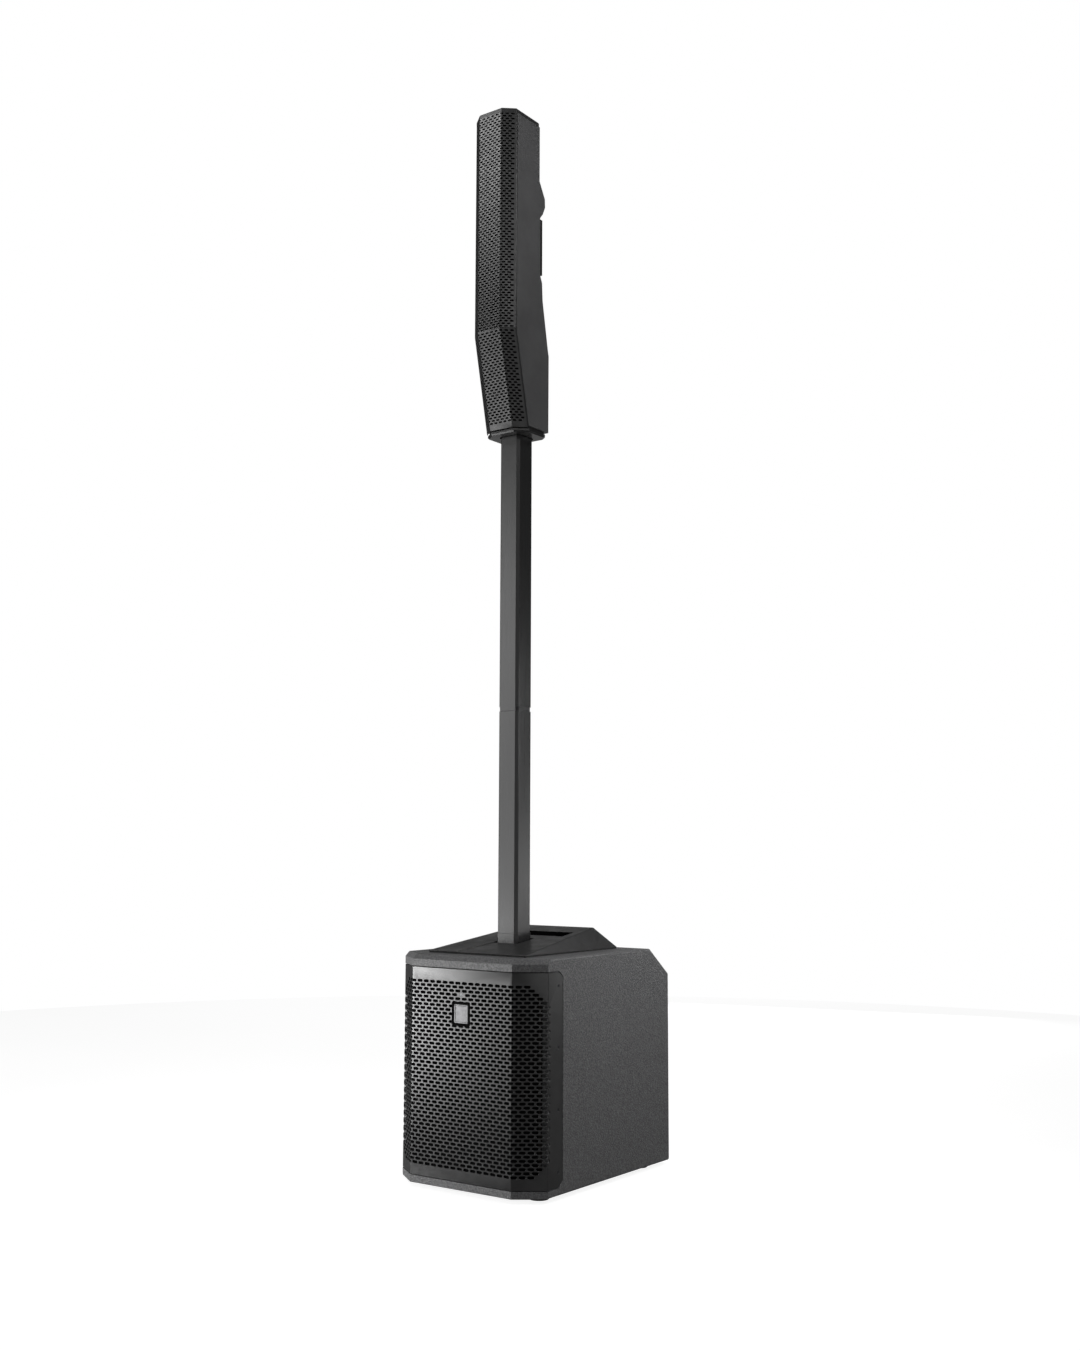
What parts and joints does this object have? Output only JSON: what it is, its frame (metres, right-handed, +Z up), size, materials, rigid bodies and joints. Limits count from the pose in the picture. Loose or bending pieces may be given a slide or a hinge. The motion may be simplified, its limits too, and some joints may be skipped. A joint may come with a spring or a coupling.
{
  "type": "column pa system",
  "caption": "Ported subwoofer cabinet with a folded perforated front grille and moulded top housing, carrying a slim bent line array on a stacked rectangular pole.",
  "frame": {"origin": "middle of the footprint on the floor, under the cabinet", "axes": "+Z up along the pole, -Y towards the listener (grille side), +X to the right when looking along +Y"},
  "size_m": [0.331, 0.445, 2.045],
  "materials": {
    "cabinet_paint": "textured, speckled protective paint",
    "plywood": "black-stained plywood",
    "grille_steel": "powder coated steel sheet",
    "acoustic_foam": "open-cell foam",
    "moulded_plastic": "satin moulded plastic",
    "array_shell": "fine satin grain",
    "pole_paint": "satin powder coat on aluminium",
    "dark_ring": "matt",
    "badge_metal": "blank gloss plate",
    "led_lens": "clear lens",
    "board_frame": "black powder coat",
    "ferrite": "bare ferrite and steel",
    "soft_rubber": "matt",
    "spider_cloth": "treated cloth",
    "cone_paper": "coated paper",
    "screw_steel": "black oxide",
    "contact_brass": "plated",
    "contact_block": "glass-filled plastic",
    "panel_metal": "fine powder coat",
    "heatsink_metal": "natural",
    "circuit_board": "solder mask",
    "display_glass": "dark window",
    "knob_plastic": "satin",
    "array_board": "black"
  },
  "bodies": {
    "subwoofer": {"sub_cabinet": "cabinet_paint", "front_baffle": "plywood", "cabinet_brace": "plywood", "sub_grille": "grille_steel", "sub_grille_foam": "acoustic_foam", "top_housing": "moulded_plastic", "pole_socket": "moulded_plastic", "badge_backing": "moulded_plastic", "port_tubes": "moulded_plastic", "power_switch_bezel": "moulded_plastic", "mains_inlet": "moulded_plastic", "audio_sockets": "moulded_plastic", "top_housing_gasket": "dark_ring", "badge_plate": "badge_metal", "status_led": "led_lens", "woofer_frame": "board_frame", "woofer_magnet": "ferrite", "woofer_surround": "soft_rubber", "rubber_feet": "soft_rubber", "woofer_spider": "spider_cloth", "grille_screws": "screw_steel", "woofer_screws": "screw_steel", "panel_screws": "screw_steel", "foot_screws": "screw_steel", "socket_contacts": "contact_block", "amp_panel": "panel_metal", "amp_heatsink": "heatsink_metal", "power_supply": "heatsink_metal", "amp_circuit_board": "circuit_board", "display_window": "display_glass"},
    "woofer_diaphragm": {"woofer_cone": "cone_paper"},
    "power_switch": {"power_rocker": "knob_plastic"},
    "level_control_1": {"input_level_knob_1": "knob_plastic"},
    "level_control_2": {"input_level_knob_2": "knob_plastic"},
    "menu_stem": {"encoder_stem": "knob_plastic"},
    "menu_knob": {"encoder_knob": "knob_plastic"},
    "lower_pole": {"lower_pole_tube": "pole_paint", "lower_pole_collar": "moulded_plastic", "lower_pole_spigot": "moulded_plastic", "lower_pole_pins": "contact_brass", "pole_joint_socket": "moulded_plastic"},
    "upper_pole": {"upper_pole_tube": "pole_paint", "upper_pole_spigot": "moulded_plastic", "upper_pole_top_spigot": "moulded_plastic", "pole_joint_ring": "dark_ring"},
    "array": {"array_housing": "array_shell", "array_top_cap": "moulded_plastic", "array_bottom_cap": "moulded_plastic", "array_baffle": "array_board", "array_grille_upper": "grille_steel", "array_grille_lower": "grille_steel", "array_grille_foam": "acoustic_foam", "array_rear_handle": "moulded_plastic", "array_socket": "moulded_plastic", "array_driver_frames": "board_frame", "array_driver_magnets": "ferrite", "array_driver_surrounds": "soft_rubber", "array_driver_screws": "screw_steel"},
    "array_cones_straight": {"array_cones_upper": "cone_paper"},
    "array_cones_slanted": {"array_cones_lower": "cone_paper"}
  },
  "joints": [
    {"name": "woofer_excursion", "type": "slide", "parent": "subwoofer", "child": "woofer_diaphragm", "axis": [0, 1, 0], "range_m": [-0.006, 0.006], "stiffness_N_per_m": 2500},
    {"name": "power_rocker_swing", "type": "hinge", "parent": "subwoofer", "child": "power_switch", "pos_m": [0.01, 0.1935, 0.146], "axis": [1, 0, 0], "range_deg": [-14, 0]},
    {"name": "level_1_turn", "type": "hinge", "parent": "subwoofer", "child": "level_control_1", "pos_m": [-0.078, 0.1975, 0.266], "axis": [0, 1, 0], "range_deg": [-150, 150]},
    {"name": "level_2_turn", "type": "hinge", "parent": "subwoofer", "child": "level_control_2", "pos_m": [-0.036, 0.1975, 0.266], "axis": [0, 1, 0], "range_deg": [-150, 150]},
    {"name": "menu_push", "type": "slide", "parent": "subwoofer", "child": "menu_stem", "axis": [0, -1, 0], "range_m": [0, 0.0008], "stiffness_N_per_m": 600, "springref_m": -0.001},
    {"name": "menu_turn", "type": "hinge", "parent": "menu_stem", "child": "menu_knob", "pos_m": [0.052, 0.1975, 0.252], "axis": [0, 1, 0], "continuous": true},
    {"name": "lower_pole_lift", "type": "slide", "parent": "subwoofer", "child": "lower_pole", "axis": [0, 0, 1], "range_m": [0, 0.09]},
    {"name": "upper_pole_lift", "type": "slide", "parent": "lower_pole", "child": "upper_pole", "axis": [0, 0, 1], "range_m": [0, 0.065]},
    {"name": "array_lift", "type": "slide", "parent": "upper_pole", "child": "array", "axis": [0, 0, 1], "range_m": [0, 0.05]},
    {"name": "array_cones_excursion", "type": "slide", "parent": "array", "child": "array_cones_straight", "axis": [0, 1, 0], "range_m": [-0.002, 0.002], "stiffness_N_per_m": 1500},
    {"name": "array_slanted_excursion", "type": "slide", "parent": "array", "child": "array_cones_slanted", "axis": [0, 0.9764, 0.2158], "range_m": [-0.002, 0.002], "stiffness_N_per_m": 1500}
  ],
  "couplings": [
    {"joint": "array_slanted_excursion", "follows": "array_cones_excursion", "ratio": 1}
  ]
}
